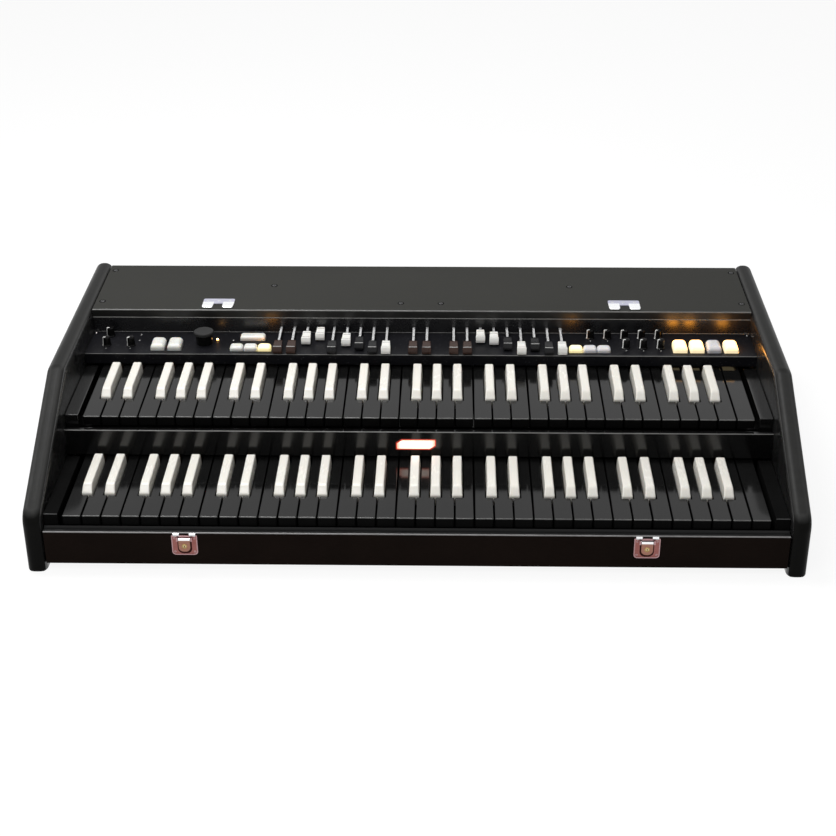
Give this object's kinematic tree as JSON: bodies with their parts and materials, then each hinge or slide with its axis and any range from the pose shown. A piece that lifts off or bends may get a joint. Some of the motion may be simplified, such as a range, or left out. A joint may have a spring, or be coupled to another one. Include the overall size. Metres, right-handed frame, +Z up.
{
  "type": "drawbar organ",
  "caption": "Portable two-manual drawbar organ with black naturals, ivory sharps, a glossy control panel full of drawbars, knobs and lit buttons, and rounded black side panels; lid off.",
  "frame": {"origin": "on the floor, under the middle of the whole instrument's bounding box", "axes": "+X along the keyboards towards the treble end (the player's right), +Y away from the player, +Z up"},
  "size_m": [0.939, 0.535, 0.1814],
  "materials": {
    "side_black": "satin black paint on board, rounded edges",
    "base_black": "matte black paint",
    "divider_gloss": "high gloss black",
    "front_black": "satin brown-black paint",
    "rear_black": "satin black paint",
    "top_black": "matte textured black",
    "panel_gloss": "glossy black, very dark blue tint",
    "circuit_green": "solder-masked circuit board",
    "natural_black": "polished black",
    "sharp_ivory": "polished ivory white",
    "latch_nickel": "nickel plated steel",
    "encoder_grey": "soft-touch dark grey",
    "drawbar_brown": "dark brown, semi-gloss",
    "drawbar_white": "warm white, semi-gloss",
    "drawbar_black": "black, semi-gloss",
    "knob_black": "glossy black",
    "tab_white": "translucent white, some lit from inside",
    "button_white": "translucent white, some lit from inside"
  },
  "bodies": {
    "case": {"side_panel_left": "side_black", "side_panel_right": "side_black", "base_frame": "base_black", "upper_key_frame": "divider_gloss", "front_board": "front_black", "rear_panel": "rear_black", "top_board": "top_black", "control_panel": "panel_gloss", "drawbar_circuit_board": "circuit_green"},
    "lower_naturals": {"lower_naturals": "natural_black"},
    "lower_sharps": {"lower_sharps": "sharp_ivory"},
    "upper_naturals": {"upper_naturals": "natural_black"},
    "upper_sharps": {"upper_sharps": "sharp_ivory"},
    "latch_lever_left": {"latch_lever_left": "latch_nickel"},
    "latch_lever_right": {"latch_lever_right": "latch_nickel"},
    "encoder_knob": {"encoder_knob": "encoder_grey"},
    "drawbar_upper_1": {"drawbar_upper_1": "drawbar_brown"},
    "drawbar_upper_3": {"drawbar_upper_3": "drawbar_white"},
    "drawbar_upper_4": {"drawbar_upper_4": "drawbar_white"},
    "drawbar_upper_5": {"drawbar_upper_5": "drawbar_black"},
    "drawbar_pedal_1": {"drawbar_pedal_1": "drawbar_brown"},
    "drawbar_lower_1": {"drawbar_lower_1": "drawbar_brown"},
    "drawbar_lower_3": {"drawbar_lower_3": "drawbar_white"},
    "drawbar_lower_6": {"drawbar_lower_6": "drawbar_white"},
    "drawbar_lower_9": {"drawbar_lower_9": "drawbar_white"},
    "knob_left_rear": {"knob_left_rear": "knob_black"},
    "knob_left_front_2": {"knob_left_front_2": "knob_black"},
    "knob_right_rear_1": {"knob_right_rear_1": "knob_black"},
    "knob_right_front_3": {"knob_right_front_3": "knob_black"},
    "tab_left_1": {"tab_left_1": "tab_white"},
    "tab_right_1": {"tab_right_1": "tab_white"},
    "tab_right_4": {"tab_right_4": "tab_white"},
    "button_wide": {"button_wide": "button_white"},
    "button_left_1": {"button_left_1": "button_white"},
    "button_left_3": {"button_left_3": "button_white"},
    "button_right_1": {"button_right_1": "button_white"},
    "button_right_3": {"button_right_3": "button_white"},
    "drawbar_upper_2": {"drawbar_upper_2": "drawbar_brown"},
    "drawbar_upper_6": {"drawbar_upper_6": "drawbar_white"},
    "drawbar_upper_7": {"drawbar_upper_7": "drawbar_black"},
    "drawbar_upper_8": {"drawbar_upper_8": "drawbar_black"},
    "drawbar_upper_9": {"drawbar_upper_9": "drawbar_white"},
    "drawbar_pedal_2": {"drawbar_pedal_2": "drawbar_brown"},
    "drawbar_lower_2": {"drawbar_lower_2": "drawbar_brown"},
    "drawbar_lower_4": {"drawbar_lower_4": "drawbar_white"},
    "drawbar_lower_5": {"drawbar_lower_5": "drawbar_black"},
    "drawbar_lower_7": {"drawbar_lower_7": "drawbar_black"},
    "drawbar_lower_8": {"drawbar_lower_8": "drawbar_black"},
    "knob_left_front_1": {"knob_left_front_1": "knob_black"},
    "knob_right_rear_2": {"knob_right_rear_2": "knob_black"},
    "knob_right_rear_3": {"knob_right_rear_3": "knob_black"},
    "knob_right_rear_4": {"knob_right_rear_4": "knob_black"},
    "knob_right_rear_5": {"knob_right_rear_5": "knob_black"},
    "knob_right_front_1": {"knob_right_front_1": "knob_black"},
    "knob_right_front_2": {"knob_right_front_2": "knob_black"},
    "tab_left_2": {"tab_left_2": "tab_white"},
    "tab_right_2": {"tab_right_2": "tab_white"},
    "tab_right_3": {"tab_right_3": "tab_white"},
    "button_left_2": {"button_left_2": "button_white"},
    "button_right_2": {"button_right_2": "button_white"}
  },
  "joints": [
    {"name": "lower_naturals_hinge", "type": "hinge", "parent": "case", "child": "lower_naturals", "pos_m": [0, -0.0535, 0.0635], "axis": [1, 0, 0], "range_deg": [0, 2.9], "stiffness_Nm_per_rad": 100, "springref_deg": -2.86},
    {"name": "lower_sharps_hinge", "type": "hinge", "parent": "case", "child": "lower_sharps", "pos_m": [0, -0.0535, 0.0635], "axis": [1, 0, 0], "range_deg": [0, 2.8], "stiffness_Nm_per_rad": 60, "springref_deg": -2.86},
    {"name": "upper_naturals_hinge", "type": "hinge", "parent": "case", "child": "upper_naturals", "pos_m": [0, 0.0973, 0.1165], "axis": [1, 0, 0], "range_deg": [0, 2.9], "stiffness_Nm_per_rad": 100, "springref_deg": -2.86},
    {"name": "upper_sharps_hinge", "type": "hinge", "parent": "case", "child": "upper_sharps", "pos_m": [0, 0.0973, 0.1165], "axis": [1, 0, 0], "range_deg": [0, 2.8], "stiffness_Nm_per_rad": 60, "springref_deg": -2.86},
    {"name": "latch_lever_left_hinge", "type": "hinge", "parent": "case", "child": "latch_lever_left", "pos_m": [-0.2759, -0.26575, 0.0491], "axis": [-1, 0, 0], "range_deg": [0, 100]},
    {"name": "latch_lever_right_hinge", "type": "hinge", "parent": "case", "child": "latch_lever_right", "pos_m": [0.2759, -0.26575, 0.0491], "axis": [-1, 0, 0], "range_deg": [0, 100]},
    {"name": "encoder_knob_hinge", "type": "hinge", "parent": "case", "child": "encoder_knob", "pos_m": [-0.29, 0.071, 0.1448], "axis": [0, 0, 1], "continuous": true},
    {"name": "drawbar_upper_1_slide", "type": "slide", "parent": "case", "child": "drawbar_upper_1", "axis": [0, -1, 0], "range_m": [-0.044, 0]},
    {"name": "drawbar_upper_3_slide", "type": "slide", "parent": "case", "child": "drawbar_upper_3", "axis": [0, -1, 0], "range_m": [-0.01595, 0.02805]},
    {"name": "drawbar_upper_4_slide", "type": "slide", "parent": "case", "child": "drawbar_upper_4", "axis": [0, -1, 0], "range_m": [-0.0033, 0.0407]},
    {"name": "drawbar_upper_5_slide", "type": "slide", "parent": "case", "child": "drawbar_upper_5", "axis": [0, -1, 0], "range_m": [-0.044, 0]},
    {"name": "drawbar_pedal_1_slide", "type": "slide", "parent": "case", "child": "drawbar_pedal_1", "axis": [0, -1, 0], "range_m": [-0.044, 0]},
    {"name": "drawbar_lower_1_slide", "type": "slide", "parent": "case", "child": "drawbar_lower_1", "axis": [0, -1, 0], "range_m": [-0.044, 0]},
    {"name": "drawbar_lower_3_slide", "type": "slide", "parent": "case", "child": "drawbar_lower_3", "axis": [0, -1, 0], "range_m": [-0.0088, 0.0352]},
    {"name": "drawbar_lower_6_slide", "type": "slide", "parent": "case", "child": "drawbar_lower_6", "axis": [0, -1, 0], "range_m": [-0.044, 0]},
    {"name": "drawbar_lower_9_slide", "type": "slide", "parent": "case", "child": "drawbar_lower_9", "axis": [0, -1, 0], "range_m": [-0.044, 0]},
    {"name": "knob_left_rear_hinge", "type": "hinge", "parent": "case", "child": "knob_left_rear", "pos_m": [-0.42, 0.0915, 0.1448], "axis": [0, 0, 1], "range_deg": [-150, 150]},
    {"name": "knob_left_front_2_hinge", "type": "hinge", "parent": "case", "child": "knob_left_front_2", "pos_m": [-0.3875, 0.0625, 0.1448], "axis": [0, 0, 1], "range_deg": [-150, 150]},
    {"name": "knob_right_rear_1_hinge", "type": "hinge", "parent": "case", "child": "knob_right_rear_1", "pos_m": [0.2288, 0.0915, 0.1448], "axis": [0, 0, 1], "range_deg": [-150, 150]},
    {"name": "knob_right_front_3_hinge", "type": "hinge", "parent": "case", "child": "knob_right_front_3", "pos_m": [0.3204, 0.0625, 0.1448], "axis": [0, 0, 1], "range_deg": [-150, 150]},
    {"name": "tab_left_1_hinge", "type": "hinge", "parent": "case", "child": "tab_left_1", "pos_m": [-0.3503, 0.074, 0.1438], "axis": [1, 0, 0], "range_deg": [0, 4], "stiffness_Nm_per_rad": 0.3, "springref_deg": -5.73},
    {"name": "tab_right_1_hinge", "type": "hinge", "parent": "case", "child": "tab_right_1", "pos_m": [0.3458, 0.074, 0.1438], "axis": [1, 0, 0], "range_deg": [0, 4], "stiffness_Nm_per_rad": 0.3, "springref_deg": -5.73},
    {"name": "tab_right_4_hinge", "type": "hinge", "parent": "case", "child": "tab_right_4", "pos_m": [0.4133, 0.074, 0.1438], "axis": [1, 0, 0], "range_deg": [0, 4], "stiffness_Nm_per_rad": 0.3, "springref_deg": -5.73},
    {"name": "button_wide_slide", "type": "slide", "parent": "case", "child": "button_wide", "axis": [0, 0, -1], "range_m": [0, 0.002], "stiffness_N_per_m": 300, "springref_m": -0.003},
    {"name": "button_left_1_slide", "type": "slide", "parent": "case", "child": "button_left_1", "axis": [0, 0, -1], "range_m": [0, 0.002], "stiffness_N_per_m": 300, "springref_m": -0.003},
    {"name": "button_left_3_slide", "type": "slide", "parent": "case", "child": "button_left_3", "axis": [0, 0, -1], "range_m": [0, 0.002], "stiffness_N_per_m": 300, "springref_m": -0.003},
    {"name": "button_right_1_slide", "type": "slide", "parent": "case", "child": "button_right_1", "axis": [0, 0, -1], "range_m": [0, 0.002], "stiffness_N_per_m": 300, "springref_m": -0.003},
    {"name": "button_right_3_slide", "type": "slide", "parent": "case", "child": "button_right_3", "axis": [0, 0, -1], "range_m": [0, 0.002], "stiffness_N_per_m": 300, "springref_m": -0.003},
    {"name": "drawbar_upper_2_slide", "type": "slide", "parent": "case", "child": "drawbar_upper_2", "axis": [0, -1, 0], "range_m": [-0.044, 0]},
    {"name": "drawbar_upper_6_slide", "type": "slide", "parent": "case", "child": "drawbar_upper_6", "axis": [0, -1, 0], "range_m": [-0.0209, 0.0231]},
    {"name": "drawbar_upper_7_slide", "type": "slide", "parent": "case", "child": "drawbar_upper_7", "axis": [0, -1, 0], "range_m": [-0.0319, 0.0121]},
    {"name": "drawbar_upper_8_slide", "type": "slide", "parent": "case", "child": "drawbar_upper_8", "axis": [0, -1, 0], "range_m": [-0.044, 0]},
    {"name": "drawbar_upper_9_slide", "type": "slide", "parent": "case", "child": "drawbar_upper_9", "axis": [0, -1, 0], "range_m": [-0.044, 0]},
    {"name": "drawbar_pedal_2_slide", "type": "slide", "parent": "case", "child": "drawbar_pedal_2", "axis": [0, -1, 0], "range_m": [-0.044, 0]},
    {"name": "drawbar_lower_2_slide", "type": "slide", "parent": "case", "child": "drawbar_lower_2", "axis": [0, -1, 0], "range_m": [-0.044, 0]},
    {"name": "drawbar_lower_4_slide", "type": "slide", "parent": "case", "child": "drawbar_lower_4", "axis": [0, -1, 0], "range_m": [-0.01485, 0.02915]},
    {"name": "drawbar_lower_5_slide", "type": "slide", "parent": "case", "child": "drawbar_lower_5", "axis": [0, -1, 0], "range_m": [-0.0308, 0.0132]},
    {"name": "drawbar_lower_7_slide", "type": "slide", "parent": "case", "child": "drawbar_lower_7", "axis": [0, -1, 0], "range_m": [-0.03245, 0.01155]},
    {"name": "drawbar_lower_8_slide", "type": "slide", "parent": "case", "child": "drawbar_lower_8", "axis": [0, -1, 0], "range_m": [-0.044, 0]},
    {"name": "knob_left_front_1_hinge", "type": "hinge", "parent": "case", "child": "knob_left_front_1", "pos_m": [-0.42, 0.0625, 0.1448], "axis": [0, 0, 1], "range_deg": [-150, 150]},
    {"name": "knob_right_rear_2_hinge", "type": "hinge", "parent": "case", "child": "knob_right_rear_2", "pos_m": [0.2517, 0.0915, 0.1448], "axis": [0, 0, 1], "range_deg": [-150, 150]},
    {"name": "knob_right_rear_3_hinge", "type": "hinge", "parent": "case", "child": "knob_right_rear_3", "pos_m": [0.2746, 0.0915, 0.1448], "axis": [0, 0, 1], "range_deg": [-150, 150]},
    {"name": "knob_right_rear_4_hinge", "type": "hinge", "parent": "case", "child": "knob_right_rear_4", "pos_m": [0.2975, 0.0915, 0.1448], "axis": [0, 0, 1], "range_deg": [-150, 150]},
    {"name": "knob_right_rear_5_hinge", "type": "hinge", "parent": "case", "child": "knob_right_rear_5", "pos_m": [0.3204, 0.0915, 0.1448], "axis": [0, 0, 1], "range_deg": [-150, 150]},
    {"name": "knob_right_front_1_hinge", "type": "hinge", "parent": "case", "child": "knob_right_front_1", "pos_m": [0.2746, 0.0625, 0.1448], "axis": [0, 0, 1], "range_deg": [-150, 150]},
    {"name": "knob_right_front_2_hinge", "type": "hinge", "parent": "case", "child": "knob_right_front_2", "pos_m": [0.2975, 0.0625, 0.1448], "axis": [0, 0, 1], "range_deg": [-150, 150]},
    {"name": "tab_left_2_hinge", "type": "hinge", "parent": "case", "child": "tab_left_2", "pos_m": [-0.3278, 0.074, 0.1438], "axis": [1, 0, 0], "range_deg": [0, 4], "stiffness_Nm_per_rad": 0.3, "springref_deg": -5.73},
    {"name": "tab_right_2_hinge", "type": "hinge", "parent": "case", "child": "tab_right_2", "pos_m": [0.3683, 0.074, 0.1438], "axis": [1, 0, 0], "range_deg": [0, 4], "stiffness_Nm_per_rad": 0.3, "springref_deg": -5.73},
    {"name": "tab_right_3_hinge", "type": "hinge", "parent": "case", "child": "tab_right_3", "pos_m": [0.3908, 0.074, 0.1438], "axis": [1, 0, 0], "range_deg": [0, 4], "stiffness_Nm_per_rad": 0.3, "springref_deg": -5.73},
    {"name": "button_left_2_slide", "type": "slide", "parent": "case", "child": "button_left_2", "axis": [0, 0, -1], "range_m": [0, 0.002], "stiffness_N_per_m": 300, "springref_m": -0.003},
    {"name": "button_right_2_slide", "type": "slide", "parent": "case", "child": "button_right_2", "axis": [0, 0, -1], "range_m": [0, 0.002], "stiffness_N_per_m": 300, "springref_m": -0.003}
  ]
}
